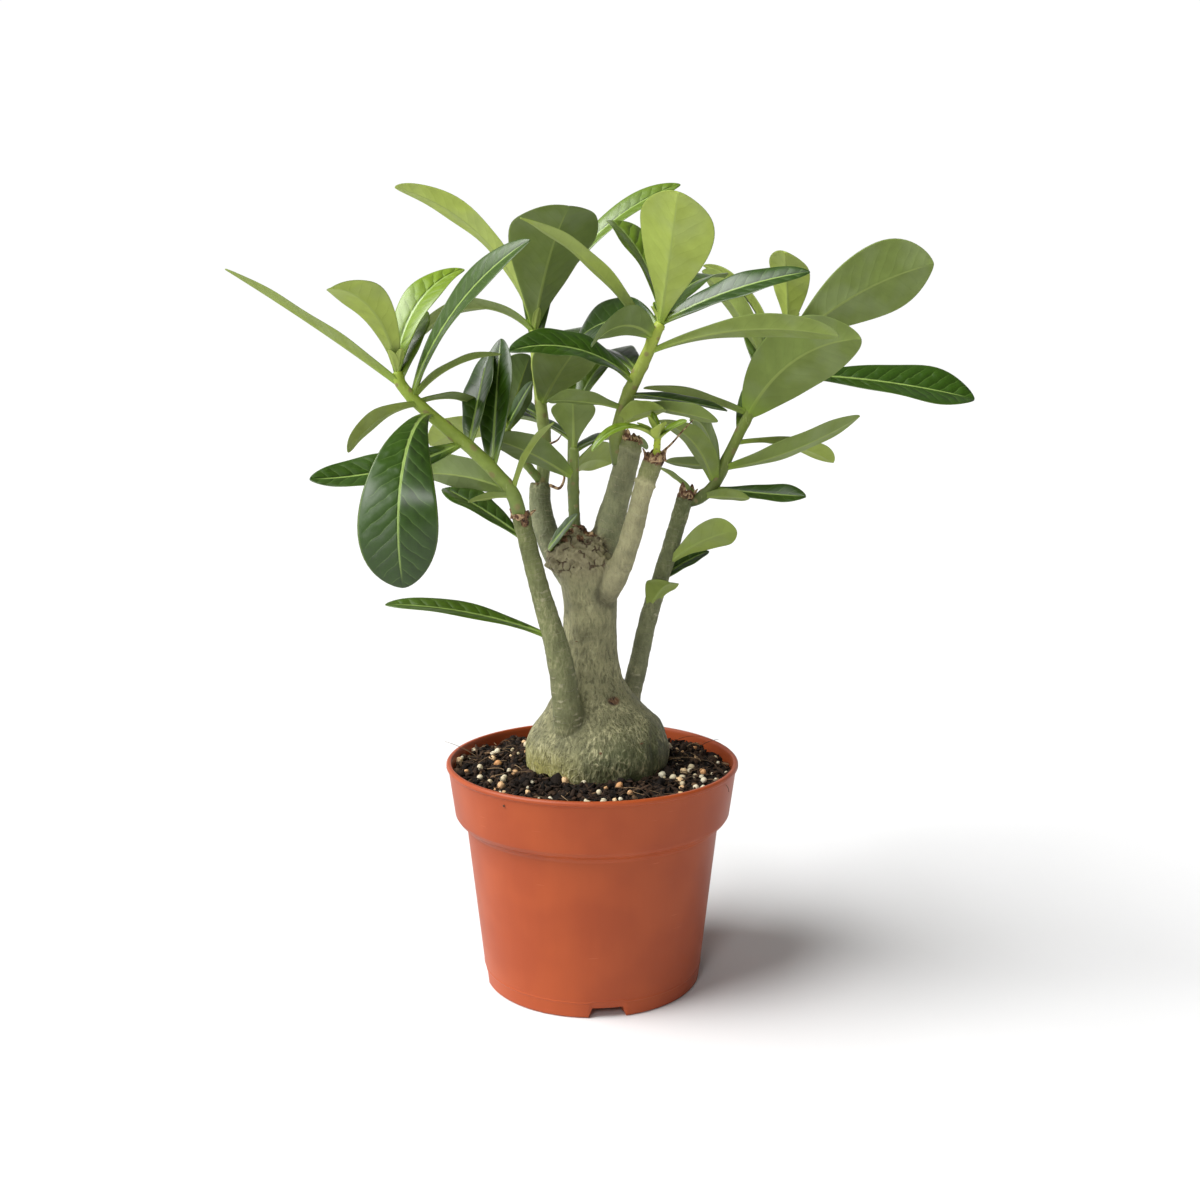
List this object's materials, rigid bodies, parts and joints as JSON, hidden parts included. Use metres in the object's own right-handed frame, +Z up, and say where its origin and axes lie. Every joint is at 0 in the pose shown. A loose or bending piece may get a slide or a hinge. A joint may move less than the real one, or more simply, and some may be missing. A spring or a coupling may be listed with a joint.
{
  "type": "potted desert rose adenium",
  "caption": "Young desert rose with a swollen caudex, woody pruned branches and spoon-shaped leaves, growing in a round terracotta-coloured nursery pot.",
  "frame": {"origin": "centre of the flat underside of the pot, on the surface that it stands on", "axes": "+Z up along the pot's axis, -Y towards the side shown in the picture, +X to the right as seen from there"},
  "size_m": [0.2936, 0.1555, 0.328],
  "materials": {
    "pot_plastic": "satin moulded terracotta-coloured plastic",
    "peat_mix": "matt, crumbly peat with perlite and grit",
    "bark": "matt grey-green bark with fine wrinkles",
    "leaf": "glossy on top, matt and paler below",
    "young_leaf": "satin lime green"
  },
  "bodies": {
    "root": {"pot": "pot_plastic", "soil": "peat_mix", "caudex": "bark", "shoot_left": "leaf", "shoot_back_left": "leaf", "shoot_centre": "leaf", "shoot_right": "leaf", "shoot_middle": "leaf", "shoot_back": "leaf", "sprout_pale_branch": "young_leaf", "leaf_left_low": "leaf", "leaf_left_high": "leaf", "leaf_right_high": "leaf", "leaf_right_middle": "leaf", "leaf_right_low": "leaf", "leaf_knob": "leaf"}
  },
  "joints": []
}
